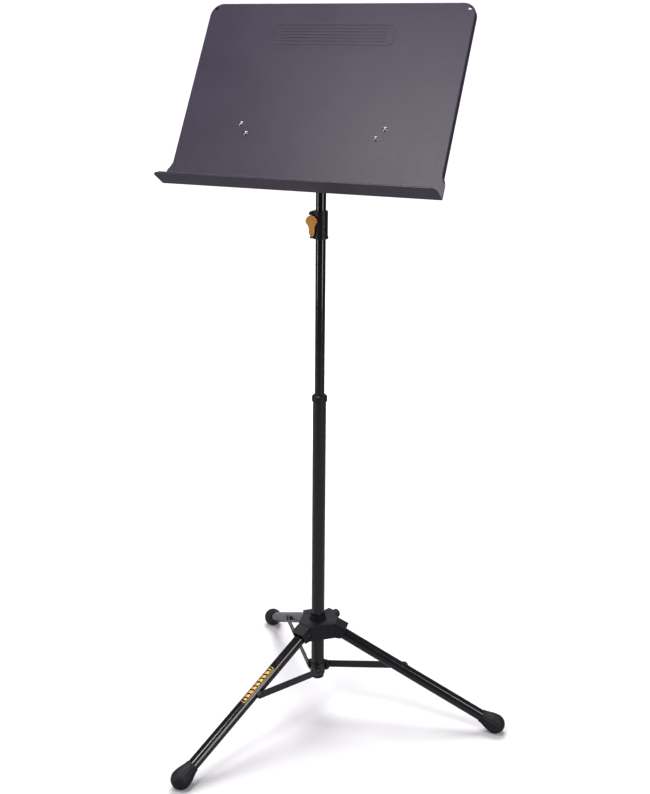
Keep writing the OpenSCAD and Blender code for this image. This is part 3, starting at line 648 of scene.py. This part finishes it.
# %% [markdown]
# ## The gold panel on the leg
# A thin printed film is wrapped on the front leg: a gold outline and a row of
# plain gold bars on black. It is a picture in the film, so the pattern is
# made in the material, measured along and round the leg.
# %% Printed film
film = Finish("gold_print", (0.008, 0.008, 0.009), 0.25, coat_weight=0.3, coat_roughness=0.1)
film_start, film_length, film_half = 95 * mm, 89 * mm, 7.6 * mm
film_black = (0.008, 0.008, 0.009)
leg_frame = down_leg(0)
x, y, z = film.axes(film.coords(centre=leg_frame.translation[:], turn=tuple(leg_frame.to_euler("XYZ"))))
across = film.math("ARCTAN2", y, 0 - x) * leg_radius
along = z - (film_start + film_length / 2)


def inside_box(finish, u, v, half_u, half_v, corner):
    """How far a point lies outside a rounded box, negative inside."""
    far_u = finish.math("MAXIMUM", abs(u) - (half_u - corner), 0)
    far_v = finish.math("MAXIMUM", abs(v) - (half_v - corner), 0)
    return finish.math("SQRT", far_u * far_u + far_v * far_v) - corner


edge = inside_box(film, across, along, film_half - 0.9 * mm, film_length / 2 - 1.5 * mm, 2.5 * mm)
outline_gold = abs(edge) < 0.6 * mm
bar_pitch = 9.6 * mm
slanted = along + across * 0.35
cell = film.math("PINGPONG", slanted, bar_pitch / 2)
bars = (cell < 3.1 * mm) * (abs(across) < 4.4 * mm) * (abs(along) < 38.4 * mm)
gold = (outline_gold + bars).clamp()
worn_gold = film.noise(160, 3.0, 0.7).ramp(0.35, 0.7)
film.set("Base Color", film.mix(
    gold, film_black, film.mix(worn_gold, (1.0, 0.66, 0.20), (0.85, 0.50, 0.12))))
film.set("Metallic", gold * 0.55)
film.set("Roughness", gold * 0.14 + 0.24)
frame["nodes"]["leg_label"].data.materials[0] = film.material
print("gold film painted")
# %% [markdown]
# ## Floor and light
# The stand is lit like a catalogue picture, on a white floor that runs into a
# white background. A key light high in front draws the sheen on the desk. A
# large light high behind whitens the floor, and can't reach the desk's front.
# Two tall strips draw a soft line down each side of the tubes. The floor
# glows faintly to the camera far from the stand, which hides the horizon,
# and looks darker in reflections, which keeps the black parts black.
# %% Floor
floor_size = 40
ground = bmesh.new()
bmesh.ops.create_grid(ground, x_segments=1, y_segments=1, size=floor_size / 2)
floor_mesh = bpy.data.meshes.new("floor")
ground.to_mesh(floor_mesh)
ground.free()
floor = bpy.data.objects.new("floor", floor_mesh)
bpy.context.scene.collection.objects.link(floor)
paper = Finish("studio_paper", (0.93, 0.92, 0.935), 0.9)
seen_by_camera = paper.add("ShaderNodeLightPath", {}, [], "Is Camera Ray")
floor_x, floor_y, _ = paper.axes(paper.coords())
from_stand = paper.math("SQRT", floor_x * floor_x + floor_y * floor_y)
paper.set("Base Color", paper.mix(seen_by_camera, (0.3, 0.29, 0.31), (0.93, 0.92, 0.935)))
glow_near, glow_far = 0.4, 3.0
glow = seen_by_camera * from_stand.ramp(glow_near, glow_far, 0.05, 1.0)
paper.set("Emission Color", paper.mix(glow, (0, 0, 0), (1, 1, 1)))
paper.set("Emission Strength", 1.1)
floor_mesh.materials.append(paper.material)
print("floor", floor_size, "m across")
# %% Lights
def softbox(name, place, aim, size, power, tint=(1, 1, 1)):
    """A rectangular light at place, facing aim."""
    data = bpy.data.lights.new(name, "AREA")
    data.shape = "RECTANGLE"
    data.size, data.size_y = size
    data.energy = power
    data.color = tint
    light = bpy.data.objects.new(name, data)
    bpy.context.scene.collection.objects.link(light)
    facing = (Vector(aim) - Vector(place)).to_track_quat("-Z", "Y").to_matrix().to_4x4()
    light.matrix_world = Matrix.Translation(place) @ facing
    return light


softbox("key", (-0.2, -1.1, 2.35), (0.1, 0, 1.0), (0.6, 0.6), 17, (1.0, 0.985, 1.0))
softbox("floor_light", (-0.5, 1.3, 3.3), (0, -0.1, 0), (2.0, 2.0), 105)
softbox("right_strip", (2.3, -0.9, 1.3), (0, 0, 0.8), (0.7, 2.2), 26)
softbox("left_strip", (-2.0, -1.6, 1.3), (0, 0, 0.8), (0.65, 2.2), 24)
sky = bpy.data.worlds.new("studio")
bpy.context.scene.world = sky
sky.use_nodes = True
sky_nodes, sky_links = sky.node_tree.nodes, sky.node_tree.links
backdrop = sky_nodes["Background"]
backdrop.inputs["Color"].default_value = (0.92, 0.8, 1.0, 1.0)
seen = sky_nodes.new("ShaderNodeLightPath")
level = sky_nodes.new("ShaderNodeMapRange")
sky_on_stand, sky_seen = 0.11, 1.3
level.inputs["To Min"].default_value = sky_on_stand
level.inputs["To Max"].default_value = sky_seen
sky_links.new(seen.outputs["Is Camera Ray"], level.inputs["Value"])
sky_links.new(level.outputs["Result"], backdrop.inputs["Strength"])
bpy.context.scene.view_settings.view_transform = "Standard"
print("studio lit")
